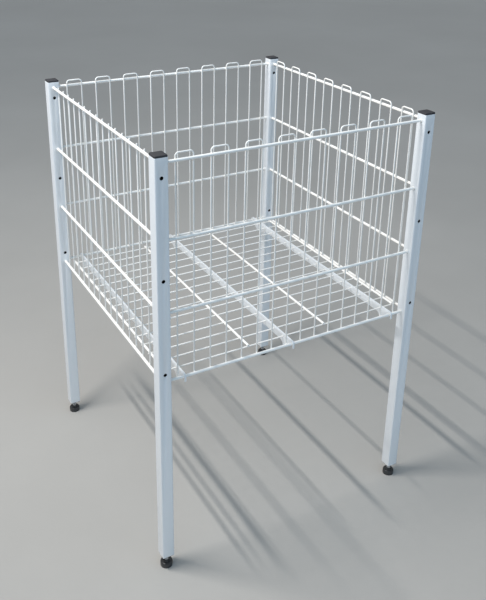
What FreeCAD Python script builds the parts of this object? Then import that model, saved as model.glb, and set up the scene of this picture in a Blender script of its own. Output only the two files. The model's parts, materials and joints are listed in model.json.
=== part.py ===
"""Wire dump bin: four square posts on levelling feet, four wire walls and a lift-off wire shelf.

Millimetres. +Z is up, the front is -Y and the left is -X. The origin is on the floor, under the
centre of the bin. Each sub-part is written to parts/NODE.step.
"""
import FreeCAD, Part
import math
import os
from FreeCAD import Vector

# ---- Posts: square steel tube, open at both ends -------------------------------------------------
post_side = 25.0
post_wall = 1.5
post_corner_radius = 2.0
post_length = 848.0
post_pitch_x = 575.0            # post centre to post centre, left to right
post_pitch_y = 575.0            # post centre to post centre, front to back

# ---- Bolt holes through every post, front face to back face --------------------------------------
bolt_hole_diameter = 7.0
bolt_hole_count = 3
bolt_hole_spacing = 190.5

# ---- Flat sides that stand for the round of thin stock and of the feet ---------------------------
wire_sides = 6
rail_sides = 12
foot_sides = 24
hairpin_bend_steps = 2

# ---- Horizontal rails of the walls ---------------------------------------------------------------
rail_diameter = 6.0
rail_count = 4
rail_spacing = 142.2
top_rail_below_tube_end = 12.9

# ---- Upright wires of the walls, on the inner side of the rails ----------------------------------
wall_wire_diameter = 3.0
wall_wire_count = 16
wall_wire_edge_gap = 20.0       # post face to the centre of the nearest upright
hairpin_rise = 12.0             # bend of a hairpin above the top rail, centre to centre
hairpin_bend_radius = 6.5       # to the centre line of the wire
straight_wire_rise = 4.5        # cut end of a straight wire above the centre of the top rail
wall_wire_tail = 2.0            # lower end of an upright below the centre of the lowest rail
weld_sink = 0.4                 # how far two crossed wires melt into each other

# ---- Shelf: wires threaded through three upright bars that hook over the lowest rails ------------
shelf_wire_diameter = 3.0
shelf_wire_count = 16
shelf_wire_edge_gap = 20.0      # inner face of a post to the centre of the nearest shelf wire
shelf_wire_overhang = 3.0       # end of a shelf wire past the centre of the outer rod
shelf_rod_diameter = 5.0
shelf_rod_count = 4
shelf_rod_edge_gap = 2.5        # inner face of a post to the centre of the outer rod
shelf_rod_offset = 2.5          # the rods and the ends of the wires lie this far to the right
shelf_rod_overhang = 2.5        # end of a rod past the centre of the outermost shelf wire
bar_thickness = 3.0
bar_depth = 17.5
bar_edge_gap = 31.0             # inner face of a post to the centre of the outer bar
centre_bar_offset = -4.5        # the centre bar lies this far to the left
bar_above_wire = 7.2            # top edge of a bar above the centre of the shelf wires
bar_hole_clearance = 0.15       # radial play of a shelf wire in its hole
hook_seat_clearance = 0.3       # between the lowest rail and the notch that sits over it
hook_finger = 3.2               # width of the finger outside the rail
hook_finger_drop = 9.7          # tip of the finger below the centre of the rail
hook_nose_radius = 7.0
hook_tip_radius = 1.4
hook_toe_drop = 7.0             # lower edge beside the notch, below the centre of the rail
hook_heel_length = 32.0         # inner side of the deep part, from the centre of the rail
hook_heel_drop = 24.0           # lowest point of the deep part, below the centre of the rail
hook_heel_radius = 4.0
hook_throat_radius = 10.0       # where the deep part meets the lower edge of the bar

# ---- Top caps: plastic, pushed into the tubes ----------------------------------------------------
cap_head = 4.0
cap_head_setback = 0.3          # side of the cap's head inside the side of the tube
cap_head_bevel = 1.5
cap_skirt_depth = 12.0
cap_skirt_wall = 1.6
fin_count = 3
fin_height = 1.2
fin_reach = 1.0                 # how far a gripping fin stands out of its skirt

# ---- Threaded inserts in the lower ends ----------------------------------------------------------
insert_flange = 1.0
insert_flange_setback = 0.5     # side of the flange inside the side of the tube
insert_depth = 20.0

# ---- Levelling feet ------------------------------------------------------------------------------
stud_diameter = 8.0
stud_running_clearance = 0.05
stud_in_pad = 9.0               # length of the stud moulded into the pad
pad_diameter = 25.0
pad_side = 8.5                  # height of the upright side of the pad
pad_shoulder_height = 11.5
pad_hex_across_flats = 13.0
pad_height = 15.0               # floor to the top of the spanner hexagon
stud_gap = 14.0                 # bare thread between the hexagon and the insert's flange

# ---- Heights and planes that follow from the values above ----------------------------------------
flange_bottom = pad_height + stud_gap
tube_bottom = flange_bottom + insert_flange
tube_top = tube_bottom + post_length
rail_radius = rail_diameter / 2
top_rail = tube_top - top_rail_below_tube_end
lowest_rail = top_rail - rail_spacing * (rail_count - 1)
rail_heights = [lowest_rail + rail_spacing * i for i in range(rail_count)]
clear_x = post_pitch_x - post_side
clear_y = post_pitch_y - post_side
shelf_wire_height = lowest_rail
bar_top = shelf_wire_height + bar_above_wire
bar_bottom = bar_top - bar_depth
bore_side = post_side - 2 * post_wall

CORNERS = {
    "front_left": (-1, -1),
    "front_right": (1, -1),
    "back_left": (-1, 1),
    "back_right": (1, 1),
}


def corner_point(name, z=0.0):
    """Centre of the named post at height z."""
    side_x, side_y = CORNERS[name]
    return Vector(side_x * post_pitch_x / 2, side_y * post_pitch_y / 2, z)


def even_places(count, span):
    """Evenly spaced places, centred on zero, whose first and last are span apart."""
    step = span / (count - 1)
    return [-span / 2 + step * i for i in range(count)]


def rounded_square(side, radius, z):
    """Closed wire of a square with rounded corners, centred on Z, at height z."""
    half = side / 2
    inner = half - radius
    diagonal = inner + radius * math.sqrt(0.5)
    edges = []
    for turn in range(4):
        start = Vector(half, -inner, z)
        end = Vector(half, inner, z)
        middle = Vector(diagonal, diagonal, z)
        after = Vector(inner, half, z)
        quarter = [Part.LineSegment(start, end).toShape(), Part.Arc(end, middle, after).toShape()]
        for edge in quarter:
            edge.rotate(Vector(0, 0, 0), Vector(0, 0, 1), turn * 90.0)
            edges.append(edge)
    return Part.Wire(edges)


def rounded_prism(side, radius, z, height):
    """Upright bar of rounded square section, centred on Z, standing on height z."""
    return Part.Face(rounded_square(side, radius, z)).extrude(Vector(0, 0, height))


def flat_cornered_prism(side, radius, z, height):
    """Like rounded_prism, with one flat that touches each corner's true round."""
    half = side / 2
    inner = half - radius * (2 - math.sqrt(2))
    quarter = [(half, -inner), (half, inner)]
    points = []
    for turn in range(4):
        points += [Vector(x, y, z) for x, y in quarter]
        quarter = [(-y, x) for x, y in quarter]
    return Part.Face(Part.makePolygon(points + points[:1])).extrude(Vector(0, 0, height))


def square_block(side, z, height):
    """Square block centred on Z, standing on height z."""
    return Part.makeBox(side, side, height, Vector(-side / 2, -side / 2, z))


def section(diameter, sides, centre, run):
    """Outline of a round bar along run, with flat sides that touch the true circle.

    One side faces up, or on an upright bar the front, so that crossed bars meet side to side.
    """
    along = Vector(run).normalize()
    upright = abs(along.z) > abs(along.x) + abs(along.y)
    first = Vector(0, -1, 0) if upright else Vector(0, 0, 1)
    second = along.cross(first)
    corner = diameter / 2 / math.cos(math.pi / sides)
    angles = [2 * math.pi * (i + 0.5) / sides for i in range(sides)]
    points = [centre + first * corner * math.cos(a) + second * corner * math.sin(a) for a in angles]
    return Part.makePolygon(points + points[:1])


def straight_bar(diameter, sides, start, end):
    """Straight bar between two points."""
    run = end - start
    return Part.Face(section(diameter, sides, start, run)).extrude(run)


def make_post():
    """Square tube with three pairs of bolt holes, centred on Z at its real height."""
    outside = rounded_prism(post_side, post_corner_radius, tube_bottom, post_length)
    tube = outside.cut(square_block(bore_side, tube_bottom, post_length))
    middle = (lowest_rail + top_rail) / 2
    for offset in even_places(bolt_hole_count, bolt_hole_spacing * (bolt_hole_count - 1)):
        start = Vector(0, -post_side, middle + offset)
        drill = Part.makeCylinder(bolt_hole_diameter / 2, 2 * post_side, start, Vector(0, 1, 0))
        tube = tube.cut(drill)
    return tube


def finned_skirt(wall, z, depth):
    """Square skirt with gripping fins all round. A wall of 0 leaves the skirt solid."""
    side = bore_side - 2 * fin_reach
    skirt = square_block(side, z, depth)
    for place in range(fin_count):
        fin_z = z + depth * (place + 1) / (fin_count + 1) - fin_height / 2
        skirt = skirt.fuse(square_block(bore_side, fin_z, fin_height))
    if wall:
        skirt = skirt.cut(square_block(side - 2 * wall, z, depth))
    return skirt


def make_cap():
    """Flat black cap: a bevelled head on the tube's end and a finned skirt inside it."""
    side = post_side - 2 * cap_head_setback
    head = flat_cornered_prism(side, post_corner_radius, tube_top, cap_head)
    rim = [edge for edge in head.Edges if edge.BoundBox.ZMin > tube_top + cap_head / 2]
    head = head.makeChamfer(cap_head_bevel, rim)
    skirt = finned_skirt(cap_skirt_wall, tube_top - cap_skirt_depth, cap_skirt_depth)
    return head.fuse(skirt).removeSplitter()


def make_insert():
    """Threaded insert: a flange under the tube's end and a finned block with a bore for the stud."""
    side = post_side - 2 * insert_flange_setback
    flange = flat_cornered_prism(side, post_corner_radius, flange_bottom, insert_flange)
    block = finned_skirt(0, tube_bottom, insert_depth)
    bore_diameter = stud_diameter + 2 * stud_running_clearance
    top = tube_bottom + insert_depth
    bore = straight_bar(bore_diameter, foot_sides, Vector(0, 0, flange_bottom), Vector(0, 0, top))
    return flange.fuse(block).cut(bore).removeSplitter()


def make_pad():
    """Moulded foot: round side, sloping shoulder and a spanner hexagon round the stud."""
    body = straight_bar(pad_diameter, foot_sides, Vector(0, 0, 0), Vector(0, 0, pad_shoulder_height))
    rim = [edge for edge in body.Edges if edge.BoundBox.ZMin > pad_side]
    body = body.makeChamfer(pad_shoulder_height - pad_side, rim)
    hexagon = straight_bar(pad_hex_across_flats, 6, Vector(0, 0, pad_side), Vector(0, 0, pad_height))
    socket_bottom = pad_height - stud_in_pad
    socket = straight_bar(stud_diameter, foot_sides, Vector(0, 0, socket_bottom), Vector(0, 0, pad_height))
    return body.fuse(hexagon).cut(socket).removeSplitter()


def make_stud():
    """Steel stud from inside the pad to the top of the insert."""
    bottom = Vector(0, 0, pad_height - stud_in_pad)
    top = Vector(0, 0, tube_bottom + insert_depth)
    return straight_bar(stud_diameter, foot_sides, bottom, top)


# A wall is drawn as the front one, along X with the outside facing -Y, and then turned into place.

def wall_setting(wall):
    """Turn about Z, distance of the rails from the centre and clear length of the named wall."""
    return {
        "front": (0, post_pitch_y / 2, clear_x),
        "right": (90, post_pitch_x / 2, clear_y),
        "back": (180, post_pitch_y / 2, clear_x),
        "left": (270, post_pitch_x / 2, clear_y),
    }[wall]


def into_wall(shape, turn):
    """Turn a shape of the front wall into another wall."""
    placed = shape.copy()
    placed.rotate(Vector(0, 0, 0), Vector(0, 0, 1), turn)
    return placed


def make_rail(wall, height):
    """One rail, butted between the faces of its two posts."""
    turn, distance, clear = wall_setting(wall)
    start = Vector(-clear / 2, -distance, height)
    end = Vector(clear / 2, -distance, height)
    return into_wall(straight_bar(rail_diameter, rail_sides, start, end), turn)


def upright_plane(distance):
    """Depth of the uprights' centres: inside the rails, sunk into them by the weld."""
    return -distance + rail_radius + wall_wire_diameter / 2 - weld_sink


def make_hairpin(left, right, y):
    """Wire bent into an upside-down U, with both legs down to the lowest rail."""
    foot = lowest_rail - wall_wire_tail
    bend = hairpin_bend_radius
    shoulder = top_rail + hairpin_rise - bend
    quarter = [math.pi / 2 * i / hairpin_bend_steps for i in range(hairpin_bend_steps + 1)]
    over = [(bend * (1 - math.cos(angle)), bend * math.sin(angle)) for angle in quarter]
    points = [Vector(left, y, foot)]
    points += [Vector(left + inward, y, shoulder + up) for inward, up in over]
    points += [Vector(right - inward, y, shoulder + up) for inward, up in reversed(over)]
    points += [Vector(right, y, foot)]
    wire_end = section(wall_wire_diameter, wire_sides, points[0], Vector(0, 0, 1))
    mitred = 1
    return Part.makePolygon(points).makePipeShell([wire_end], True, False, mitred)


def make_hairpins(wall):
    """Row of hairpins whose legs are all one pitch apart."""
    turn, distance, clear = wall_setting(wall)
    y = upright_plane(distance)
    places = even_places(wall_wire_count, clear - 2 * wall_wire_edge_gap)
    pairs = zip(places[0::2], places[1::2])
    return Part.makeCompound([into_wall(make_hairpin(left, right, y), turn) for left, right in pairs])


def make_straight_wires(wall):
    """Row of single uprights, cut off just above the top rail."""
    turn, distance, clear = wall_setting(wall)
    y = upright_plane(distance)
    low = lowest_rail - wall_wire_tail
    high = top_rail + straight_wire_rise
    wires = []
    for x in even_places(wall_wire_count, clear - 2 * wall_wire_edge_gap):
        wire = straight_bar(wall_wire_diameter, wire_sides, Vector(x, y, low), Vector(x, y, high))
        wires.append(into_wall(wire, turn))
    return Part.makeCompound(wires)


def shelf_wire_places():
    """Depths of the shelf wires, front to back."""
    return even_places(shelf_wire_count, clear_y - 2 * shelf_wire_edge_gap)


def make_shelf_wires():
    """Wires from left to right, level with the lowest rails."""
    reach = clear_x / 2 - shelf_rod_edge_gap + shelf_wire_overhang
    z = shelf_wire_height
    left = shelf_rod_offset - reach
    right = shelf_rod_offset + reach
    return Part.makeCompound([
        straight_bar(shelf_wire_diameter, wire_sides, Vector(left, y, z), Vector(right, y, z))
        for y in shelf_wire_places()
    ])


def make_shelf_rod(x):
    """Front-to-back rod, welded on top of the shelf wires."""
    reach = shelf_wire_places()[-1] + shelf_rod_overhang
    z = shelf_wire_height + shelf_wire_diameter / 2 + shelf_rod_diameter / 2 - weld_sink
    return straight_bar(shelf_rod_diameter, rail_sides, Vector(x, -reach, z), Vector(x, reach, z))


def cross_edges(shape, y, z):
    """The edges of a bar that run along X through the point y, z."""
    def passes(edge):
        box = edge.BoundBox
        return box.XLength > bar_thickness / 2 and abs(box.YMin - y) < 0.01 and abs(box.ZMin - z) < 0.01
    return [edge for edge in shape.Edges if passes(edge)]


def make_bar_blank():
    """Flat bar on edge, centred on X, with a finger, a notch and a deep heel at each end."""
    notch = rail_radius + hook_seat_clearance
    rail_y = post_pitch_y / 2
    nose = (rail_y + notch + hook_finger, bar_top)
    tip = (nose[0], lowest_rail - hook_finger_drop)
    toe = (rail_y - notch, lowest_rail - hook_toe_drop)
    heel = (rail_y - hook_heel_length, lowest_rail - hook_heel_drop)
    throat = (heel[0], bar_bottom)
    back_end = [throat, heel, toe, tip, nose]
    front_end = [(-y, z) for y, z in reversed(back_end)]
    points = [Vector(-bar_thickness / 2, y, z) for y, z in back_end + front_end]
    blank = Part.Face(Part.makePolygon(points + points[:1])).extrude(Vector(bar_thickness, 0, 0))
    rounds = [
        (nose, hook_nose_radius),
        (tip, hook_tip_radius),
        (heel, hook_heel_radius),
        (throat, hook_throat_radius),
    ]
    for side in (-1, 1):
        for (y, z), radius in rounds:
            blank = blank.makeFillet(radius, cross_edges(blank, side * y, z))
        over_rail = Vector(-bar_thickness, side * rail_y, lowest_rail)
        past_rail = Vector(bar_thickness, side * rail_y, lowest_rail)
        seat = straight_bar(2 * notch, rail_sides, over_rail, past_rail)
        corner = Vector(-bar_thickness, side * rail_y - notch, lowest_rail - bar_depth)
        slot = Part.makeBox(2 * bar_thickness, 2 * notch, bar_depth, corner)
        blank = blank.cut(seat.fuse(slot))
    return blank


def make_shelf_bar(x):
    """Hooked bar with a row of holes that the shelf wires pass through and rest in."""
    bar = make_bar_blank()
    hole = shelf_wire_diameter + 2 * bar_hole_clearance
    hole_height = shelf_wire_height + bar_hole_clearance
    for y in shelf_wire_places():
        start = Vector(-bar_thickness, y, hole_height)
        end = Vector(bar_thickness, y, hole_height)
        bar = bar.cut(straight_bar(hole, wire_sides, start, end))
    bar.translate(Vector(x, 0, 0))
    return bar


def export(node, shape):
    """Write one sub-part, whose file's name is its own name."""
    shape.exportStep("parts/" + node + ".step")


def main():
    os.makedirs("parts", exist_ok=True)

    at_each_corner = {
        "post": make_post(),
        "cap": make_cap(),
        "insert": make_insert(),
        "foot_pad": make_pad(),
        "foot_stud": make_stud(),
    }
    for corner in CORNERS:
        for kind, shape in at_each_corner.items():
            placed = shape.copy()
            placed.translate(corner_point(corner))
            export(kind + "_" + corner, placed)

    for wall in ("front", "right", "back", "left"):
        for number, height in enumerate(rail_heights, start=1):
            export("rail_" + wall + "_" + str(number), make_rail(wall, height))
    for wall in ("front", "right", "back"):
        export("hairpins_" + wall, make_hairpins(wall))
    export("wires_left", make_straight_wires("left"))

    export("shelf_wires", make_shelf_wires())
    rods = even_places(shelf_rod_count, clear_x - 2 * shelf_rod_edge_gap)
    for number, x in enumerate(rods, start=1):
        export("shelf_rod_" + str(number), make_shelf_rod(x + shelf_rod_offset))
    outer_bar = clear_x / 2 - bar_edge_gap
    export("shelf_bar_left", make_shelf_bar(-outer_bar))
    export("shelf_bar_centre", make_shelf_bar(centre_bar_offset))
    export("shelf_bar_right", make_shelf_bar(outer_bar))


main()
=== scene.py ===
"""Wire dump bin: dresses the frame in round wire, weld marks, drilled tubes, caps, feet and powder coat.

Metres. +Z is up, the front is -Y and the left is -X, as in the frame.
"""

import json
import math
import random

import bmesh
import bpy
from bpy.props import FloatProperty, FloatVectorProperty, IntProperty, PointerProperty
from mathutils import Matrix, Vector


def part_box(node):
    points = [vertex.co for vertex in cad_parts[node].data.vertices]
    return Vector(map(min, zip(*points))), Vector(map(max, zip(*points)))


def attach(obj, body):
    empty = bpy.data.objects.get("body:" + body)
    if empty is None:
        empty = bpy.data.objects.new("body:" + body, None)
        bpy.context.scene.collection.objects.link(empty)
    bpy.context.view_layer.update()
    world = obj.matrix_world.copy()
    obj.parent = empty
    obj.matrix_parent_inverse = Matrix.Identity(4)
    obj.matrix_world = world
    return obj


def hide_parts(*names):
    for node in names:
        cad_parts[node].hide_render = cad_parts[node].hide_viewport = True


bl_info = {
    "name": "Wire dump bin",
    "version": (1, 0, 0),
    "blender": (4, 5, 0),
    "location": "View3D > Sidebar > Dump bin",
    "description": "Models the visible pieces of a wire dump bin and sets its studio",
    "category": "Object",
}

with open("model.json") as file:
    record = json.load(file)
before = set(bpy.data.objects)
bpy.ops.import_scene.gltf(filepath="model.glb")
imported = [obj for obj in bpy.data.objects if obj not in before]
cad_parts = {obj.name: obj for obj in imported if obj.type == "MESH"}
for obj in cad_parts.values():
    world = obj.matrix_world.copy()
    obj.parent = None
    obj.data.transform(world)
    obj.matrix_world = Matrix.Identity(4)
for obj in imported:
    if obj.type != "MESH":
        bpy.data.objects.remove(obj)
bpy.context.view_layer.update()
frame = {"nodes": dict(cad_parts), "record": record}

# ---- Names in the frame ---------------------------------------------------------------------------
CORNERS = ("front_left", "front_right", "back_left", "back_right")
WALL_TURNS = {"front": 0, "right": 90, "back": 180, "left": 270}    # degrees from the front wall
HAIRPINS = {"front": "hairpins_front", "right": "hairpins_right", "back": "hairpins_back"}
SHELF_BARS = ("shelf_bar_left", "shelf_bar_centre", "shelf_bar_right")
SHELF_RODS = ("shelf_rod_1", "shelf_rod_2", "shelf_rod_3", "shelf_rod_4")
RAIL_NUMBERS = (1, 2, 3, 4)

# ---- Fineness of round shapes ---------------------------------------------------------------------
WIRE_SIDES = 14
ROD_SIDES = 20
RAIL_SIDES = 24
BEAD_SIDES = 8
DISC_SIDES = 48             # feet and bolt holes
MARK_SIDES, MARK_RINGS = 12, 6
THREAD_STEPS = 20           # in a turn
BEND_STEPS = 7              # in a hairpin's quarter turn
CORNER_STEPS = 5
BEVEL_STEPS = 4

# ---- What counts as the same, as upright and as sharp ---------------------------------------------
MERGE_DISTANCE = 1e-6
HEIGHT_SLACK = 1e-5
NEARLY = 0.9                # share of its length or normal that runs along Z
SHARP_DEGREES = 35

# ---- Small rounds on edges ------------------------------------------------------------------------
CUT_WIRE_ROUND = 0.0003
SHELF_WIRE_ROUND = 0.0004
ROD_ROUND = 0.0005
CAP_ROUND = 0.0002
FITTING_ROUND = 0.0003      # hooked bars and inserts
FOOT_ROUND = 0.0005

# ---- Shares ---------------------------------------------------------------------------------------
HEX_CORNER = 1 / math.sqrt(3)       # of a hexagon's width, middle to corner; the frame's wires have six sides
THREAD_DEPTH = 0.61                 # of the pitch
BARE_FROM = 0.8                     # of the tube's wall, counted from outside
MARK_SHAPE = (1.0, 0.5, 0.85)       # of a weld mark's half width
MARK_WIDTHS = (0.9, 1.1)            # the marks differ between these
MARK_HEIGHTS = (0.9, 1.15)
MARK_SEED = 7

# ---- Character of the black plastics --------------------------------------------------------------
# The last figure lightens the faces that look up: partly dust, partly painted light on their lit tops.
PLASTICS = {
    "cap_plastic": {"roughness": 0.36, "grain_depth": 0.00004, "dust_and_top_light_amount": 0.34},
    "insert_plastic": {"roughness": 0.5, "grain_depth": 0.00006, "dust_and_top_light_amount": 0.2},
    "foot_plastic": {"roughness": 0.1, "grain_depth": 0.00001, "dust_and_top_light_amount": 0.12},
}

# ---- Stage ----------------------------------------------------------------------------------------
FLOOR_SIDE = 60.0
STRIP_PLACE = (-1.044, 0.12, 2.65)
STRIP_TILT = math.radians(-25.4)
STRIP_WIDTH, STRIP_LENGTH = 0.06, 0.75
FROM_LEFT = (-1, 0, 0.25)
FROM_FRONT = (0, -1, 0.25)
FADED_OUT = -0.1                # cosine from a light's direction at which it ends
CAMERA_PLACE = (-0.7845, -1.4159, 1.2968)
CAMERA_RIGHT = (0.87576, -0.48257, 0.01277)
CAMERA_UP = (0.16686, 0.32742, 0.93003)
CAMERA_BACK = (-0.45299, -0.81235, 0.36726)
CAMERA_LENS, CAMERA_SENSOR = 47.59, 36.0        # millimetres
CAMERA_SHIFT = (0.0246, -0.1763)


def centre(node):
    """Middle of a node's box."""
    low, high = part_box(node)
    return (Vector(low) + Vector(high)) / 2


def extent(node):
    """Width, depth and height of a node's box."""
    low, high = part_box(node)
    return Vector(high) - Vector(low)


def bottom(node):
    """Lowest height of a node."""
    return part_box(node)[0][2]


def top(node):
    """Highest height of a node."""
    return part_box(node)[1][2]


def mount_height(name):
    """Height of a mount of the record."""
    return next(mount["pos_m"][2] for mount in frame["record"]["mounts"] if mount["name"] == name)


POST_BOX = extent("post_front_left")
POST_CENTRE = centre("post_front_left")
RAIL_HEIGHTS = [centre("rail_front_%d" % number).z for number in RAIL_NUMBERS]
MIDDLE_HOLE = mount_height("sign_holes_front_middle")


# ---- Sizes and colours that a user can change ----------------------------------------------------

def length(name, description, default):
    """A length setting in metres, shown in the scene's units."""
    return FloatProperty(name=name, description=description, default=default, min=0.0,
                         precision=5, unit="LENGTH")


def count(name, description, default):
    """A setting of how many pieces a row has."""
    return IntProperty(name=name, description=description, default=default, min=2)


def colour(name, description, default):
    """A colour setting."""
    return FloatVectorProperty(name=name, description=description, default=default, subtype="COLOR",
                               min=0.0, max=1.0)


class TubeSizes(bpy.types.PropertyGroup):
    side: length("Side", "Outside of the square tube", POST_BOX.x)
    wall: length("Wall", "Thickness of the tube's wall", 0.0015)
    corner: length("Corner", "Radius of the tube's outer corners", 0.002)
    hole: length("Bolt hole", "Diameter of the bolt holes", 0.007)
    hole_count: count("Bolt holes", "Bolt holes in a post", 3)
    hole_spacing: length("Hole spacing", "From one bolt hole to the next", 0.1905)
    paint_edge: length("Paint edge", "Radius that the paint gives to a cut edge", 0.00035)


class WireSizes(bpy.types.PropertyGroup):
    rail: length("Rail", "Diameter of the rails", extent("rail_front_1").z)
    wire: length("Wall wire", "Diameter of the uprights", extent("hairpins_front").y)
    wire_count: count("Uprights", "Uprights in a wall", 16)
    bend: length("Bend", "Radius of a hairpin's bends, to the middle of the wire", 0.0065)
    rod: length("Shelf rod", "Diameter of the rods on the shelf", extent("shelf_rod_1").x)
    shelf_wire: length("Shelf wire", "Diameter of the shelf's wires", extent("shelf_wires").z)
    shelf_wire_count: count("Shelf wires", "Wires across the shelf", 16)
    bead: length("Weld bead", "How far the bead at a rail's end stands out from the rail", 0.0009)
    nugget: length("Weld mark", "Half width of the mark where two wires are welded", 0.0024)
    nugget_sink: length("Mark sink", "Middle of a shelf mark below the top of the wire", 0.0002)
    stray_along: length("Stray along", "How far a wall mark may lie beside its wire", 0.0002)
    stray_up: length("Stray up", "How far a wall mark may lie above or below its rail", 0.0004)


class PlasticSizes(bpy.types.PropertyGroup):
    cap_corner: length("Cap corner", "Radius of the cap's upright corners", 0.0022)
    cap_bevel: length("Cap bevel", "Bevel round the cap's top", 0.0015)
    cap_wall: length("Cap wall", "Wall of the cap's skirt", 0.0016)
    fin: length("Fin", "Height of a gripping fin on the skirt", 0.0012)
    fin_reach: length("Fin reach", "How far a fin stands out of the skirt", 0.001)
    fin_count: count("Fins", "Fins on a skirt", 3)
    overlap: length("Overlap", "How much longer the skirt is than its gap, so that it joins the head", 0.001)
    pad: length("Foot", "Diameter of the foot", extent("foot_pad_front_left").x)
    pad_side: length("Foot side", "Height of the foot's upright side", 0.0085)
    shoulder: length("Foot shoulder", "Radius of the foot's rounded shoulder", 0.003)
    hexagon: length("Spanner hexagon", "Across the flats of the hexagon on the foot", 0.013)
    thread: length("Thread", "Outside diameter of the stud's thread", extent("foot_stud_front_left").x)
    pitch: length("Pitch", "From one turn of the thread to the next", 0.00125)


class Finishes(bpy.types.PropertyGroup):
    paint: colour("Powder coat", "Colour of the tubes' powder coat", (0.85, 0.905, 0.95))
    # Painted light: the tubes' powder coat made brighter and warmer for the wires, to stand in for how the
    # wires catch the light.
    wire_paint_with_painted_light: colour("Wire coat", "Colour of the wires' powder coat, a shade warmer", (0.95, 0.912, 0.855))
    scuff: colour("Scuffs", "Marks on the lower ends of the posts", (0.42, 0.41, 0.39))
    cap: colour("Cap plastic", "Colour of the caps", (0.01, 0.01, 0.012))
    foot: colour("Foot plastic", "Colour of the feet", (0.007, 0.007, 0.009))
    # Put on the up-facing faces of the plastics, this colour stands for dust and also paints the light on
    # their tops.
    dust: colour("Dust", "Dust that lies on black plastic", (0.3, 0.29, 0.28))
    zinc: colour("Zinc", "Colour of the plated studs", (0.62, 0.63, 0.64))
    steel: colour("Bare steel", "Colour of the tubes' inner faces", (0.014, 0.016, 0.02))
    rust: colour("Rust", "Rust inside the tubes", (0.035, 0.024, 0.017))


class StageSettings(bpy.types.PropertyGroup):
    floor: colour("Floor", "Colour of the floor", (0.458, 0.43, 0.391))
    backdrop: colour("Backdrop", "What the camera and reflections see past the floor", (0.34, 0.345, 0.35))
    strip_power: FloatProperty(name="Strip light", description="Power of the narrow light overhead",
                               default=43.0, min=0.0, unit="POWER")
    sky: colour("Sky", "Even light from all round", (0.15, 0.15, 0.15))
    left_light: colour("Light from the left", "Wide soft light from the left", (0.86, 0.88, 0.91))
    front_light: colour("Light from the front", "Wide soft light from the front", (0.1, 0.33, 0.57))


# ---- Modelling ------------------------------------------------------------------------------------

def clear_selection():
    """Leave edit mode and select nothing."""
    if bpy.context.mode != "OBJECT":
        bpy.ops.object.mode_set(mode="OBJECT")
    bpy.ops.object.select_all(action="DESELECT")


def select_only(*pieces):
    """Select these pieces and make the first the active one."""
    clear_selection()
    for piece in pieces:
        piece.select_set(True)
    bpy.context.view_layer.objects.active = pieces[0]


def named(name):
    """Name the piece just added and put its place and size into its mesh."""
    piece = bpy.context.active_object
    piece.name = name
    piece.data.name = name
    select_only(piece)
    bpy.ops.object.transform_apply(location=True, rotation=True, scale=True)
    return piece


def add_block(name, middle, size):
    """Block with that middle and size."""
    clear_selection()
    bpy.ops.mesh.primitive_cube_add(size=1, location=middle, scale=size)
    return named(name)


def add_bar(name, diameter, start, end, sides):
    """Round bar between two points."""
    clear_selection()
    run = Vector(end) - Vector(start)
    turn = Vector((0, 0, 1)).rotation_difference(run).to_euler()
    middle = (Vector(start) + Vector(end)) / 2
    bpy.ops.mesh.primitive_cylinder_add(vertices=sides, radius=diameter / 2, depth=run.length,
                                        location=middle, rotation=turn)
    return named(name)


def edit(piece):
    """Enter edit mode on a piece."""
    select_only(piece)
    bpy.ops.object.mode_set(mode="EDIT")


def merge_doubles():
    """In edit mode, select everything and merge the points that lie together."""
    bpy.ops.mesh.select_all(action="SELECT")
    bpy.ops.mesh.remove_doubles(threshold=MERGE_DISTANCE)


def finish_edit():
    """Turn all faces outwards and leave edit mode."""
    bpy.ops.mesh.select_all(action="SELECT")
    bpy.ops.mesh.normals_make_consistent(inside=False)
    bpy.ops.object.mode_set(mode="OBJECT")


def pick_faces(piece, test):
    """In edit mode, select just the faces that pass the test."""
    bpy.ops.mesh.select_mode(type="FACE")
    bpy.ops.mesh.select_all(action="DESELECT")
    mesh = bmesh.from_edit_mesh(piece.data)
    for face in mesh.faces:
        face.select_set(test(face))
    bmesh.update_edit_mesh(piece.data)


def pick_edges(piece, test):
    """In edit mode, select just the edges that pass the test."""
    bpy.ops.mesh.select_mode(type="EDGE")
    bpy.ops.mesh.select_all(action="DESELECT")
    mesh = bmesh.from_edit_mesh(piece.data)
    for edge in mesh.edges:
        edge.select_set(test(edge))
    bmesh.update_edit_mesh(piece.data)


def is_upright(edge):
    """Whether an edge runs up and down."""
    run = edge.verts[1].co - edge.verts[0].co
    return abs(run.z) > NEARLY * run.length


def is_level_at(height):
    """Test for edges that lie level at that height."""
    def test(edge):
        return all(abs(vert.co.z - height) < HEIGHT_SLACK for vert in edge.verts)
    return test


def is_level(face):
    """Whether a face looks straight up or down."""
    return abs(face.normal.z) > NEARLY


def looks_up(face):
    """Whether a face looks straight up."""
    return face.normal.z > NEARLY


def pull(x=0.0, z=0.0):
    """Extrude what is selected, to the right or up."""
    bpy.ops.mesh.extrude_region_move(TRANSFORM_OT_translate={"value": (x, 0, z)})


def apply_modifier(piece, kind, **settings):
    """Give a piece a modifier with these settings and apply it."""
    select_only(piece)
    modifier = piece.modifiers.new(kind, kind)
    for name, value in settings.items():
        setattr(modifier, name, value)
    bpy.ops.object.modifier_apply(modifier=modifier.name)


def round_edges(piece, width, segments=2):
    """Give every sharp edge a small round."""
    apply_modifier(piece, "BEVEL", width=width, segments=segments, limit_method="ANGLE",
                   angle_limit=math.radians(SHARP_DEGREES), use_clamp_overlap=True)
    smooth(piece)


def smooth(piece, degrees=SHARP_DEGREES):
    """Shade smooth across edges that are less sharp than this."""
    select_only(piece)
    bpy.ops.object.shade_smooth_by_angle(angle=math.radians(degrees))


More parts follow.
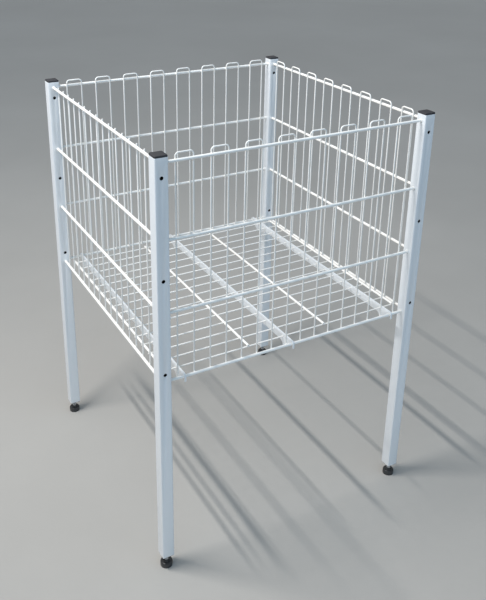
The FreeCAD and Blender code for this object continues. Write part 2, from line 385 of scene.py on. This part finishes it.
def cut_away(piece, tool):
    """Cut a tool's shape out of a piece and remove the tool."""
    apply_modifier(piece, "BOOLEAN", operation="DIFFERENCE", object=tool, solver="EXACT")
    bpy.data.objects.remove(tool)


def unite(piece, other):
    """Make one body of two pieces, under the first one's name."""
    apply_modifier(piece, "BOOLEAN", operation="UNION", object=other, solver="EXACT")
    bpy.data.objects.remove(other)


def copy_to(master, name, placement):
    """A copy of a master with its own mesh, which is moved by the placement."""
    piece = bpy.data.objects.new(name, master.data.copy())
    piece.data.name = name
    piece.data.transform(placement)
    bpy.context.scene.collection.objects.link(piece)
    return piece


def rounded_copy(node, name):
    """A copy of a CAD node, merged into whole flat faces, with its edges rounded."""
    piece = copy_to(frame["nodes"][node], name, Matrix.Identity(4))
    edit(piece)
    merge_doubles()
    bpy.ops.mesh.dissolve_limited(angle_limit=math.radians(1))
    finish_edit()
    round_edges(piece, FITTING_ROUND)
    return piece


def join(name, pieces):
    """Join pieces into one object, each still a separate shell."""
    select_only(*pieces)
    bpy.ops.object.join()
    piece = bpy.context.active_object
    piece.name = name
    piece.data.name = name
    return piece


def into_wall(wall):
    """Turn of a piece of the front wall into another wall."""
    return Matrix.Rotation(math.radians(WALL_TURNS[wall]), 4, "Z")


def place_at(point, turn):
    """Placement at a point, after a turn about Z."""
    return Matrix.Translation(point) @ turn


def corner_place(corner):
    """Point of the floor under a post."""
    place = centre("post_" + corner)
    place.z = 0
    return place


def cover(piece, finish, body, *nodes):
    """Give a finished piece its material, its body and the nodes that it stands for."""
    piece.data.materials.clear()
    piece.data.materials.append(material(finish))
    if nodes:
        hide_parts(*nodes)
    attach(piece, body)


def line_with(piece, finish, test):
    """Give the faces whose middles pass the test a second material."""
    piece.data.materials.append(material(finish))
    for face in piece.data.polygons:
        if test(face.center):
            face.material_index = 1


def even_places(number, span):
    """Evenly spaced places from end to end of a span that is centred on 0."""
    step = span / (number - 1)
    return [-span / 2 + step * i for i in range(number)]


# ---- Materials ------------------------------------------------------------------------------------

class Shading:
    """A new material with a Principled BSDF, and short ways to add nodes to it."""

    def __init__(self, name):
        self.material = bpy.data.materials.new(name)
        self.material.use_nodes = True
        self.tree = self.material.node_tree
        self.surface = self.tree.nodes["Principled BSDF"]
        self.place = self.tree.nodes.new("ShaderNodeTexCoord").outputs["Object"]

    def node(self, kind, inputs=None, **settings):
        """Add a node, with its inputs set or linked."""
        made = self.tree.nodes.new(kind)
        for name, value in settings.items():
            setattr(made, name, value)
        for name, value in (inputs or {}).items():
            self.feed(made.inputs[name], value)
        return made

    def feed(self, socket, value):
        """Link another node's output to a socket, or set the socket."""
        if isinstance(value, bpy.types.NodeSocket):
            self.tree.links.new(value, socket)
        else:
            socket.default_value = value

    def noise(self, scale, detail=2.0, roughness=0.5, stretch=(1, 1, 1)):
        """Noise from 0 to 1; scale counts per metre."""
        mapping = self.node("ShaderNodeMapping", {"Vector": self.place, "Scale": stretch})
        made = self.node("ShaderNodeTexNoise", {"Vector": mapping.outputs["Vector"], "Scale": scale,
                                                "Detail": detail, "Roughness": roughness})
        return made.outputs["Fac"]

    def spread(self, value, low, high, to_low=0.0, to_high=1.0):
        """Stretch a value from one range to another, and hold it at the ends."""
        made = self.node("ShaderNodeMapRange", {"Value": value, "From Min": low, "From Max": high,
                                                "To Min": to_low, "To Max": to_high})
        return made.outputs["Result"]

    def times(self, first, second):
        """Product of two values."""
        return self.node("ShaderNodeMath", {0: first, 1: second}, operation="MULTIPLY").outputs[0]

    def plus(self, first, second):
        """Sum of two values."""
        return self.node("ShaderNodeMath", {0: first, 1: second}, operation="ADD").outputs[0]

    def blend(self, share, first, second):
        """Colour between two colours."""
        made = self.node("ShaderNodeMix", data_type="RGBA")
        self.feed(made.inputs[0], share)
        for index, value in ((6, first), (7, second)):
            self.feed(made.inputs[index], value if isinstance(value, bpy.types.NodeSocket) else (*value, 1.0))
        return made.outputs[2]

    def height(self):
        """Height above the floor."""
        return self.node("ShaderNodeSeparateXYZ", {"Vector": self.place}).outputs["Z"]

    def facing_up(self):
        """1 on a level face that looks up, 0 on an upright one."""
        normal = self.tree.nodes.new("ShaderNodeNewGeometry").outputs["Normal"]
        return self.node("ShaderNodeSeparateXYZ", {"Vector": normal}).outputs["Z"]

    def relief(self, value, depth, strength):
        """Raise the surface by a height from 0 to 1 times the depth."""
        made = self.node("ShaderNodeBump", {"Height": value, "Distance": depth, "Strength": strength})
        self.tree.links.new(made.outputs["Normal"], self.surface.inputs["Normal"])

    def paint(self, **sockets):
        """Set sockets of the surface by their names, with _ for a space."""
        for name, value in sockets.items():
            socket = self.surface.inputs[name.replace("_", " ")]
            is_plain_colour = not isinstance(value, (float, bpy.types.NodeSocket))
            self.feed(socket, (*value, 1.0) if is_plain_colour else value)


def powder_coat(name, paint, finishes):
    """White semi-gloss powder coat: orange peel, dust nibs and scuffed lower ends."""
    coat = Shading(name)
    shade = tuple(0.875 * part for part in paint)
    handled = coat.spread(coat.noise(7.0, detail=5.0, roughness=0.6), 0.42, 0.72)
    streaks = coat.spread(coat.noise(16.0, detail=3.0, roughness=0.55, stretch=(1, 1, 0.12)), 0.5, 0.78)
    colour_now = coat.blend(coat.times(handled, 0.45), paint, shade)
    colour_now = coat.blend(coat.times(streaks, 0.25), colour_now, shade)
    nibs = coat.spread(coat.noise(900.0, detail=1.0), 0.74, 0.8)
    colour_now = coat.blend(coat.times(nibs, 0.35), colour_now, finishes.scuff)
    low_down = coat.spread(coat.height(), 0.05, 0.16, to_low=1.0, to_high=0.0)
    scuffs = coat.times(low_down, coat.spread(coat.noise(120.0, detail=4.0, roughness=0.7), 0.5, 0.68))
    colour_now = coat.blend(coat.times(scuffs, 0.5), colour_now, finishes.scuff)
    gloss = coat.spread(coat.noise(22.0, detail=4.0), 0.3, 0.7, to_low=0.3, to_high=0.44)
    coat.paint(Base_Color=colour_now, Roughness=coat.plus(gloss, coat.times(scuffs, 0.2)))
    peel = coat.plus(coat.noise(430.0), coat.times(coat.noise(1700.0, detail=1.0), 0.3))
    coat.relief(peel, depth=0.00006, strength=0.7)
    return coat.material


def moulded_plastic(name, base, dust, roughness, grain_depth, dust_and_top_light_amount):
    """Black moulded plastic with fine grain; the faces that look up are lightened by dust and by painted top
    light.
    """
    plastic = Shading(name)
    # Painted top light and dust: faces that look up are lightened, both as dust and as light falling on them.
    up_facing_dust_and_light = plastic.spread(plastic.facing_up(), 0.3, 1.0)
    patchy = plastic.spread(plastic.noise(260.0, detail=5.0, roughness=0.65), 0.42, 0.72)
    dust_and_painted_top_light = plastic.times(plastic.times(up_facing_dust_and_light, patchy), dust_and_top_light_amount)
    worn = plastic.spread(plastic.noise(90.0, detail=3.0), 0.35, 0.7)
    colour_now = plastic.blend(plastic.times(worn, 0.3), base, tuple(2.2 * part for part in base))
    colour_now = plastic.blend(dust_and_painted_top_light, colour_now, dust)
    rough = plastic.spread(worn, 0.0, 1.0, to_low=roughness, to_high=roughness + 0.14)
    plastic.paint(Base_Color=colour_now, Roughness=plastic.plus(rough, plastic.times(dust_and_painted_top_light, 0.4)))
    plastic.relief(plastic.noise(2400.0), depth=grain_depth, strength=0.6)
    return plastic.material


def zinc_plate(finishes):
    """Bright zinc with dull patches and drawn lines round the stud."""
    zinc = Shading("zinc_plated_steel")
    dull = zinc.spread(zinc.noise(350.0, detail=4.0, roughness=0.6), 0.35, 0.7)
    darker = tuple(0.55 * part for part in finishes.zinc)
    zinc.paint(Base_Color=zinc.blend(zinc.times(dull, 0.5), finishes.zinc, darker), Metallic=1.0,
               Roughness=zinc.spread(dull, 0.0, 1.0, to_low=0.24, to_high=0.45))
    zinc.relief(zinc.noise(1500.0, stretch=(1, 1, 6)), depth=0.00003, strength=0.5)
    return zinc.material


def bare_steel(finishes):
    """Dark mill scale inside the tubes, with a little rust."""
    steel = Shading("bare_steel")
    rust = steel.spread(steel.noise(180.0, detail=4.0, roughness=0.6), 0.5, 0.75)
    steel.paint(Base_Color=steel.blend(rust, finishes.steel, finishes.rust),
                Roughness=steel.spread(rust, 0.0, 1.0, to_low=0.5, to_high=0.8))
    steel.relief(steel.noise(900.0, detail=3.0), depth=0.00004, strength=0.5)
    return steel.material


def concrete(stage):
    """Pale, faintly clouded floor."""
    floor = Shading("pale_floor")
    clouds = floor.spread(floor.noise(0.9, detail=5.0, roughness=0.6), 0.3, 0.7)
    grain = floor.spread(floor.noise(60.0, detail=4.0, roughness=0.7), 0.3, 0.7)
    paler = tuple(min(1.0, 1.08 * part) for part in stage.floor)
    darker = tuple(0.93 * part for part in stage.floor)
    colour_now = floor.blend(clouds, darker, paler)
    colour_now = floor.blend(floor.times(grain, 0.3), colour_now, stage.floor)
    floor.paint(Base_Color=colour_now,
                Roughness=floor.spread(clouds, 0.0, 1.0, to_low=0.5, to_high=0.62))
    floor.relief(grain, depth=0.0004, strength=0.3)
    return floor.material


def material(name):
    """The finish of that name, made once."""
    made = bpy.data.materials.get(name)
    if made is None:
        finishes = bpy.context.scene.bin_finishes
        makers = {
            "white_powder_coat": lambda: powder_coat(name, finishes.paint, finishes),
            # Painted light: the wires get a brighter, warmer copy of the same powder coat.
            "wire_coat_with_painted_light": lambda: powder_coat(name, finishes.wire_paint_with_painted_light, finishes),
            "cap_plastic": lambda: moulded_plastic(name, finishes.cap, finishes.dust, **PLASTICS[name]),
            "insert_plastic": lambda: moulded_plastic(name, finishes.foot, finishes.dust, **PLASTICS[name]),
            "foot_plastic": lambda: moulded_plastic(name, finishes.foot, finishes.dust, **PLASTICS[name]),
            "zinc_plated_steel": lambda: zinc_plate(finishes),
            "bare_steel": lambda: bare_steel(finishes),
        }
        made = makers[name]()
    return made


# ---- Operators, one for each group of pieces ------------------------------------------------------

class BIN_OT_posts(bpy.types.Operator):
    """Four square tubes, drilled from front to back, with paint-rounded edges"""
    bl_idname = "bin.posts"
    bl_label = "Posts"

    def execute(self, context):
        sizes = context.scene.bin_tubes
        middle = (0, 0, POST_CENTRE.z)
        post = add_block("post_master", middle, (sizes.side, sizes.side, POST_BOX.z))
        edit(post)
        pick_edges(post, is_upright)
        bpy.ops.mesh.bevel(offset=sizes.corner, segments=CORNER_STEPS, affect="EDGES")
        pick_faces(post, is_level)
        bpy.ops.mesh.delete(type="ONLY_FACE")
        finish_edit()
        apply_modifier(post, "SOLIDIFY", thickness=sizes.wall, offset=-1, use_even_offset=True)
        for offset in even_places(sizes.hole_count, (sizes.hole_count - 1) * sizes.hole_spacing):
            height = MIDDLE_HOLE + offset
            front, back = (0, -sizes.side, height), (0, sizes.side, height)
            cut_away(post, add_bar("drill", sizes.hole, front, back, DISC_SIDES))
        round_edges(post, sizes.paint_edge)
        for corner in CORNERS:
            place = corner_place(corner)
            piece = copy_to(post, "tube_" + corner, Matrix.Translation(place))
            cover(piece, "white_powder_coat", "frame", "post_" + corner)
            line_with(piece, "bare_steel", self.in_bore(sizes, place))
        bpy.data.objects.remove(post)
        return {"FINISHED"}

    def in_bore(self, sizes, place):
        """Test for points inside the tube, which the paint doesn't reach."""
        reach = sizes.side / 2 - BARE_FROM * sizes.wall
        return lambda point: max(abs(point.x - place.x), abs(point.y - place.y)) < reach


class BIN_OT_caps(bpy.types.Operator):
    """Black plastic caps with a bevelled head and a finned skirt inside the tube"""
    bl_idname = "bin.caps"
    bl_label = "Caps"

    def execute(self, context):
        sizes = context.scene.bin_plastic
        cap = self.model_head(sizes)
        unite(cap, self.model_skirt(sizes, context.scene.bin_tubes))
        round_edges(cap, CAP_ROUND)
        for corner in CORNERS:
            piece = copy_to(cap, "end_cap_" + corner, Matrix.Translation(corner_place(corner)))
            cover(piece, "cap_plastic", "frame", "cap_" + corner)
        bpy.data.objects.remove(cap)
        return {"FINISHED"}

    def model_head(self, sizes):
        """Square head on the tube's end, round at its corners and bevelled on top."""
        low, high = top("post_front_left"), top("cap_front_left")
        side = extent("cap_front_left").x
        head = add_block("cap_master", (0, 0, (low + high) / 2), (side, side, high - low))
        edit(head)
        pick_edges(head, is_upright)
        bpy.ops.mesh.bevel(offset=sizes.cap_corner, segments=CORNER_STEPS, affect="EDGES")
        pick_edges(head, is_level_at(high))
        bpy.ops.mesh.bevel(offset=sizes.cap_bevel, segments=BEVEL_STEPS, affect="EDGES")
        bpy.ops.object.mode_set(mode="OBJECT")
        return head

    def model_skirt(self, sizes, tubes):
        """Hollow skirt whose fins grip the bore of the tube."""
        low, high = bottom("cap_front_left"), top("post_front_left")
        middle, depth = (low + high) / 2, high - low
        bore = tubes.side - 2 * tubes.wall
        side = bore - 2 * sizes.fin_reach
        skirt = add_block("skirt", (0, 0, middle), (side, side, depth + sizes.overlap))
        for number in range(1, sizes.fin_count + 1):
            height = low + depth * number / (sizes.fin_count + 1)
            unite(skirt, add_block("fin", (0, 0, height), (bore, bore, sizes.fin)))
        inside = side - 2 * sizes.cap_wall
        cut_away(skirt, add_block("hollow", (0, 0, middle - sizes.overlap), (inside, inside, depth)))
        return skirt


class BIN_OT_rails(bpy.types.Operator):
    """Sixteen round rails, each with a weld bead at both ends"""
    bl_idname = "bin.rails"
    bl_label = "Rails"

    def execute(self, context):
        sizes = context.scene.bin_wires
        reach = extent("rail_front_1").x / 2
        rail = add_bar("rail_master", sizes.rail, (-reach, 0, 0), (reach, 0, 0), RAIL_SIDES)
        beads = []
        for side in (-1, 1):
            clear_selection()
            bpy.ops.mesh.primitive_torus_add(
                major_segments=RAIL_SIDES, minor_segments=BEAD_SIDES, major_radius=sizes.rail / 2,
                minor_radius=sizes.bead, location=(side * (reach - sizes.bead), 0, 0),
                rotation=(0, math.radians(90), 0))
            beads.append(named("bead"))
        rail = join("rail_master", [rail] + beads)
        smooth(rail, degrees=50)
        for wall in WALL_TURNS:
            for number in RAIL_NUMBERS:
                node = "rail_%s_%d" % (wall, number)
                piece = copy_to(rail, "round_" + node, place_at(centre(node), into_wall(wall)))
                cover(piece, "wire_coat_with_painted_light", "frame", node)
        bpy.data.objects.remove(rail)
        return {"FINISHED"}


def upright_places(sizes):
    """Places along a wall of its uprights, and their depth in the front wall."""
    span = extent("wires_left").y - 2 * sizes.wire * HEX_CORNER
    return even_places(sizes.wire_count, span), centre("hairpins_front").y


class BIN_OT_hairpins(bpy.types.Operator):
    """Upside-down U bends of wire on the front, right and back walls"""
    bl_idname = "bin.hairpins"
    bl_label = "Hairpins"

    def execute(self, context):
        sizes = context.scene.bin_wires
        places, depth = upright_places(sizes)
        pitch = places[1] - places[0]
        foot = bottom("hairpins_front")
        head = top("hairpins_front") - sizes.wire * HEX_CORNER
        shoulder = head - sizes.bend
        clear_selection()
        bpy.ops.mesh.primitive_circle_add(vertices=WIRE_SIDES, radius=sizes.wire / 2, fill_type="NGON",
                                          location=(0, depth, foot))
        hairpin = named("hairpin_master")
        edit(hairpin)
        bpy.ops.mesh.select_all(action="SELECT")
        pull(z=shoulder - foot)
        self.bend_right((sizes.bend, depth, shoulder))
        pull(x=pitch - 2 * sizes.bend)
        self.bend_right((pitch - sizes.bend, depth, shoulder))
        pull(z=foot - shoulder)
        merge_doubles()
        finish_edit()
        round_edges(hairpin, CUT_WIRE_ROUND)
        for wall, node in HAIRPINS.items():
            row = [
                copy_to(hairpin, "hairpin", into_wall(wall) @ Matrix.Translation((left, 0, 0)))
                for left in places[0::2]
            ]
            cover(join("bent_wires_" + wall, row), "wire_coat_with_painted_light", "frame", node)
        bpy.data.objects.remove(hairpin)
        return {"FINISHED"}

    def bend_right(self, middle):
        """Draw the selected end of the wire through a quarter turn round a point."""
        bpy.ops.mesh.spin(steps=BEND_STEPS, angle=math.radians(-90), center=middle, axis=(0, 1, 0))


class BIN_OT_straight_wires(bpy.types.Operator):
    """Single uprights of the left wall, cut off just above the top rail"""
    bl_idname = "bin.straight_wires"
    bl_label = "Straight wires"

    def execute(self, context):
        sizes = context.scene.bin_wires
        places, depth = upright_places(sizes)
        low, high = bottom("wires_left"), top("wires_left")
        wire = add_bar("wire_master", sizes.wire, (0, depth, low), (0, depth, high), WIRE_SIDES)
        round_edges(wire, CUT_WIRE_ROUND)
        row = [
            copy_to(wire, "wire", into_wall("left") @ Matrix.Translation((place, 0, 0)))
            for place in places
        ]
        cover(join("cut_wires_left", row), "wire_coat_with_painted_light", "frame", "wires_left")
        bpy.data.objects.remove(wire)
        return {"FINISHED"}


def add_nugget(sizes):
    """Squashed drop of metal, flat along Y, that shows on both sides of a welded wire."""
    clear_selection()
    bpy.ops.mesh.primitive_uv_sphere_add(segments=MARK_SIDES, ring_count=MARK_RINGS, radius=sizes.nugget,
                                         location=(0, 0, 0), scale=MARK_SHAPE)
    nugget = named("nugget_master")
    smooth(nugget, degrees=80)
    return nugget


def varied(rng):
    """Scale that makes a mark wider or narrower, and taller or flatter, by chance."""
    return Matrix.Diagonal((rng.uniform(*MARK_WIDTHS), 1.0, rng.uniform(*MARK_HEIGHTS), 1.0))


def either_way(rng, distance):
    """An offset by chance, up to this distance to either side."""
    return rng.uniform(-distance, distance)


class BIN_OT_weld_marks(bpy.types.Operator):
    """Weld marks where wires cross rails and rods"""
    bl_idname = "bin.weld_marks"
    bl_label = "Weld marks"

    def execute(self, context):
        sizes = context.scene.bin_wires
        rng = random.Random(MARK_SEED)
        nugget = add_nugget(sizes)
        for wall in WALL_TURNS:
            marks = self.mark_wall(sizes, rng, nugget, into_wall(wall))
            cover(join("weld_marks_" + wall, marks), "wire_coat_with_painted_light", "frame")
        marks = self.mark_shelf(sizes, rng, nugget)
        cover(join("weld_marks_shelf", marks), "wire_coat_with_painted_light", "shelf")
        bpy.data.objects.remove(nugget)
        return {"FINISHED"}

    def mark_wall(self, sizes, rng, nugget, turn):
        """Marks where the uprights of a wall cross its rails."""
        places, depth = upright_places(sizes)
        touch = depth - sizes.wire / 2
        marks = []
        for place in places:
            for height in RAIL_HEIGHTS:
                along = place + either_way(rng, sizes.stray_along)
                up = height + either_way(rng, sizes.stray_up)
                spot = Matrix.Translation((along, touch, up))
                marks.append(copy_to(nugget, "mark", turn @ spot @ varied(rng)))
        return marks

    def mark_shelf(self, sizes, rng, nugget):
        """Marks where the shelf's wires cross its rods."""
        height = top("shelf_wires") - sizes.nugget_sink
        lie_down = Matrix.Rotation(math.radians(90), 4, "X")
        marks = []
        for rod in SHELF_RODS:
            for depth in shelf_wire_places(sizes):
                spot = Matrix.Translation((centre(rod).x, depth, height))
                marks.append(copy_to(nugget, "mark", spot @ lie_down @ varied(rng)))
        return marks


def shelf_wire_places(sizes):
    """Depths of the shelf's wires."""
    span = extent("shelf_wires").y - 2 * sizes.shelf_wire * HEX_CORNER
    return even_places(sizes.shelf_wire_count, span)


class BIN_OT_shelf(bpy.types.Operator):
    """Wires, rods and hooked bars of the shelf"""
    bl_idname = "bin.shelf"
    bl_label = "Shelf"

    def execute(self, context):
        sizes = context.scene.bin_wires
        self.add_wires(sizes)
        self.add_rods(sizes)
        for node in SHELF_BARS:
            cover(rounded_copy(node, "hooked_" + node), "white_powder_coat", "shelf", node)
        return {"FINISHED"}

    def add_wires(self, sizes):
        """Cross wires from left to right."""
        low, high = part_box("shelf_wires")
        height = centre("shelf_wires").z
        left, right = (low[0], 0, height), (high[0], 0, height)
        wire = add_bar("wire_master", sizes.shelf_wire, left, right, WIRE_SIDES)
        round_edges(wire, SHELF_WIRE_ROUND)
        row = [copy_to(wire, "wire", Matrix.Translation((0, y, 0))) for y in shelf_wire_places(sizes)]
        cover(join("cross_wires", row), "wire_coat_with_painted_light", "shelf", "shelf_wires")
        bpy.data.objects.remove(wire)

    def add_rods(self, sizes):
        """Rods from front to back, on top of the wires."""
        reach = extent("shelf_rod_1").y / 2
        rod = add_bar("rod_master", sizes.rod, (0, -reach, 0), (0, reach, 0), ROD_SIDES)
        round_edges(rod, ROD_ROUND)
        for node in SHELF_RODS:
            piece = copy_to(rod, "round_" + node, Matrix.Translation(centre(node)))
            cover(piece, "wire_coat_with_painted_light", "shelf", node)
        bpy.data.objects.remove(rod)


class BIN_OT_feet(bpy.types.Operator):
    """Glossy round feet on threaded studs, and the inserts that hold them"""
    bl_idname = "bin.feet"
    bl_label = "Feet"

    def execute(self, context):
        sizes = context.scene.bin_plastic
        pad = self.model_pad(sizes)
        stud = self.model_stud(sizes)
        for corner in CORNERS:
            here = Matrix.Translation(corner_place(corner))
            body = "foot_" + corner
            piece = copy_to(pad, "round_foot_" + corner, here)
            cover(piece, "foot_plastic", body, "foot_pad_" + corner)
            piece = copy_to(stud, "threaded_stud_" + corner, here)
            cover(piece, "zinc_plated_steel", body, "foot_stud_" + corner)
            node = "insert_" + corner
            cover(rounded_copy(node, "moulded_" + node), "insert_plastic", "frame", node)
        bpy.data.objects.remove(pad)
        bpy.data.objects.remove(stud)
        return {"FINISHED"}

    def model_pad(self, sizes):
        """Round pad with a domed shoulder and a spanner hexagon on top."""
        radius = sizes.pad / 2
        height = top("foot_pad_front_left")
        clear_selection()
        bpy.ops.mesh.primitive_cylinder_add(vertices=DISC_SIDES, radius=radius, depth=sizes.pad_side,
                                            location=(0, 0, sizes.pad_side / 2))
        pad = named("pad_master")
        edit(pad)
        pick_faces(pad, looks_up)
        reach = radius
        risen = 0.0
        for step in range(1, CORNER_STEPS + 1):
            angle = math.radians(90) * step / CORNER_STEPS
            next_reach = radius - sizes.shoulder * (1 - math.cos(angle))
            next_risen = sizes.shoulder * math.sin(angle)
            pull(z=next_risen - risen)
            share = next_reach / reach
            bpy.ops.transform.resize(value=(share, share, 1), center_override=(0, 0, 0))
            reach, risen = next_reach, next_risen
        bpy.ops.object.mode_set(mode="OBJECT")
        clear_selection()
        bpy.ops.mesh.primitive_cylinder_add(
            vertices=6, radius=sizes.hexagon * HEX_CORNER, depth=height - sizes.pad_side,
            location=(0, 0, (height + sizes.pad_side) / 2))
        unite(pad, named("hexagon"))
        round_edges(pad, FOOT_ROUND, segments=3)
        return pad

    def model_stud(self, sizes):
        """Stud whose thread is one helical ridge, cut off square at both ends."""
        low, high = bottom("foot_stud_front_left"), top("foot_stud_front_left")
        crest = sizes.thread / 2
        root = crest - THREAD_DEPTH * sizes.pitch
        clear_selection()
        bpy.ops.mesh.primitive_circle_add(vertices=3, radius=crest, location=(0, 0, 0))
        stud = named("stud_master")
        edit(stud)
        mesh = bmesh.from_edit_mesh(stud.data)
        mesh.verts.ensure_lookup_table()
        profile = ((root, low - sizes.pitch), (crest, low - sizes.pitch / 2), (root, low))
        for vert, (reach, height) in zip(mesh.verts, profile):
            vert.co = (reach, 0, height)
        first, last = mesh.verts[0], mesh.verts[2]
        mesh.edges.remove(mesh.edges.get((last, first)))
        bmesh.update_edit_mesh(stud.data)
        bpy.ops.object.mode_set(mode="OBJECT")
        turns = math.ceil((high - low) / sizes.pitch) + 1
        apply_modifier(stud, "SCREW", axis="Z", angle=math.radians(360), screw_offset=sizes.pitch,
                       steps=THREAD_STEPS, render_steps=THREAD_STEPS, iterations=turns,
                       use_merge_vertices=True, merge_threshold=MERGE_DISTANCE, use_smooth_shade=True)
        edit(stud)
        for height, outside in ((low, False), (high, True)):
            bpy.ops.mesh.select_all(action="SELECT")
            bpy.ops.mesh.bisect(plane_co=(0, 0, height), plane_no=(0, 0, 1), use_fill=True,
                                clear_outer=outside, clear_inner=not outside)
        merge_doubles()
        finish_edit()
        smooth(stud, degrees=50)
        return stud


class BIN_OT_stage(bpy.types.Operator):
    """Floor, lights and camera"""
    bl_idname = "bin.stage"
    bl_label = "Stage"

    def execute(self, context):
        settings = context.scene.bin_stage
        clear_selection()
        bpy.ops.mesh.primitive_plane_add(size=FLOOR_SIDE, location=(0, 0, 0))
        floor = named("studio_floor")
        floor.data.materials.append(concrete(settings))
        self.add_strip(settings)
        self.light_world(context.scene, settings)
        self.add_camera(context.scene)
        context.scene.view_settings.view_transform = "Standard"
        return {"FINISHED"}

    def add_strip(self, settings):
        """Narrow light high on the left, parallel to the left wall and turned to face the bin."""
        clear_selection()
        bpy.ops.object.light_add(type="AREA", location=STRIP_PLACE, rotation=(0, STRIP_TILT, 0))
        light = bpy.context.active_object
        light.name = "strip_light"
        light.data.shape = "RECTANGLE"
        light.data.size, light.data.size_y = STRIP_WIDTH, STRIP_LENGTH
        light.data.energy = settings.strip_power

    def light_world(self, scene, settings):
        """Soft light from all round, the left and the front; the camera sees a plain backdrop."""
        world = bpy.data.worlds.new("studio")
        scene.world = world
        world.use_nodes = True
        nodes, links = world.node_tree.nodes, world.node_tree.links
        lit = self.background(nodes, settings.sky).outputs[0]
        for way, shade in ((FROM_LEFT, settings.left_light), (FROM_FRONT, settings.front_light)):
            both = nodes.new("ShaderNodeAddShader")
            links.new(lit, both.inputs[0])
            links.new(self.one_sided(nodes, links, way, shade).outputs[0], both.inputs[1])
            lit = both.outputs[0]
        path = nodes.new("ShaderNodeLightPath")
        seen_by = path.outputs["Is Camera Ray"]
        for ray in ("Is Glossy Ray", "Is Transmission Ray"):
            either = nodes.new("ShaderNodeMath")
            either.operation = "MAXIMUM"
            links.new(seen_by, either.inputs[0])
            links.new(path.outputs[ray], either.inputs[1])
            seen_by = either.outputs[0]
        mix = nodes.new("ShaderNodeMixShader")
        links.new(seen_by, mix.inputs["Fac"])
        links.new(lit, mix.inputs[1])
        links.new(self.background(nodes, settings.backdrop).outputs[0], mix.inputs[2])
        links.new(mix.outputs[0], nodes["World Output"].inputs["Surface"])

    def background(self, nodes, shade):
        """Plain background of that colour."""
        made = nodes.new("ShaderNodeBackground")
        made.inputs["Color"].default_value = (*shade, 1)
        return made

    def one_sided(self, nodes, links, way, shade):
        """Background that is strongest in one direction and fades out sideways."""
        toward = nodes.new("ShaderNodeVectorMath")
        toward.operation = "DOT_PRODUCT"
        toward.inputs[1].default_value = Vector(way).normalized()
        links.new(nodes.new("ShaderNodeTexCoord").outputs["Generated"], toward.inputs[0])
        share = nodes.new("ShaderNodeMapRange")
        share.interpolation_type = "SMOOTHSTEP"
        share.inputs["From Min"].default_value = FADED_OUT
        links.new(toward.outputs["Value"], share.inputs["Value"])
        made = self.background(nodes, shade)
        links.new(share.outputs["Result"], made.inputs["Strength"])
        return made

    def add_camera(self, scene):
        """Camera whose axes are the columns of its turn: right, up and back."""
        data = bpy.data.cameras.new("camera")
        camera = bpy.data.objects.new("camera", data)
        scene.collection.objects.link(camera)
        turn = Matrix((CAMERA_RIGHT, CAMERA_UP, CAMERA_BACK)).transposed()
        camera.matrix_world = Matrix.Translation(CAMERA_PLACE) @ turn.to_4x4()
        data.lens = CAMERA_LENS
        data.sensor_width = CAMERA_SENSOR
        data.shift_x, data.shift_y = CAMERA_SHIFT
        data.clip_start = 0.01
        scene.camera = camera


class BIN_PT_panel(bpy.types.Panel):
    """Lists the pieces of the bin"""
    bl_idname = "BIN_PT_panel"
    bl_label = "Dump bin"
    bl_space_type = "VIEW_3D"
    bl_region_type = "UI"
    bl_category = "Dump bin"

    def draw(self, context):
        for operator in PIECE_OPERATORS:
            self.layout.operator(operator.bl_idname)


SETTINGS = {
    "bin_tubes": TubeSizes,
    "bin_wires": WireSizes,
    "bin_plastic": PlasticSizes,
    "bin_finishes": Finishes,
    "bin_stage": StageSettings,
}
PIECE_OPERATORS = (
    BIN_OT_posts,
    BIN_OT_caps,
    BIN_OT_rails,
    BIN_OT_hairpins,
    BIN_OT_straight_wires,
    BIN_OT_shelf,
    BIN_OT_weld_marks,
    BIN_OT_feet,
    BIN_OT_stage,
)
CLASSES = tuple(SETTINGS.values()) + PIECE_OPERATORS + (BIN_PT_panel,)


def register():
    """Register the classes and hang the settings on the scene."""
    for cls in CLASSES:
        bpy.utils.register_class(cls)
    for name, group in SETTINGS.items():
        setattr(bpy.types.Scene, name, PointerProperty(type=group))


def unregister():
    """Take the settings and the classes away again."""
    for name in SETTINGS:
        delattr(bpy.types.Scene, name)
    for cls in reversed(CLASSES):
        bpy.utils.unregister_class(cls)


def main():
    """Make all pieces and the stage."""
    register()
    for operator in PIECE_OPERATORS:
        family, call = operator.bl_idname.split(".")
        getattr(getattr(bpy.ops, family), call)()
    clear_selection()


if __name__ == "__main__":
    main()
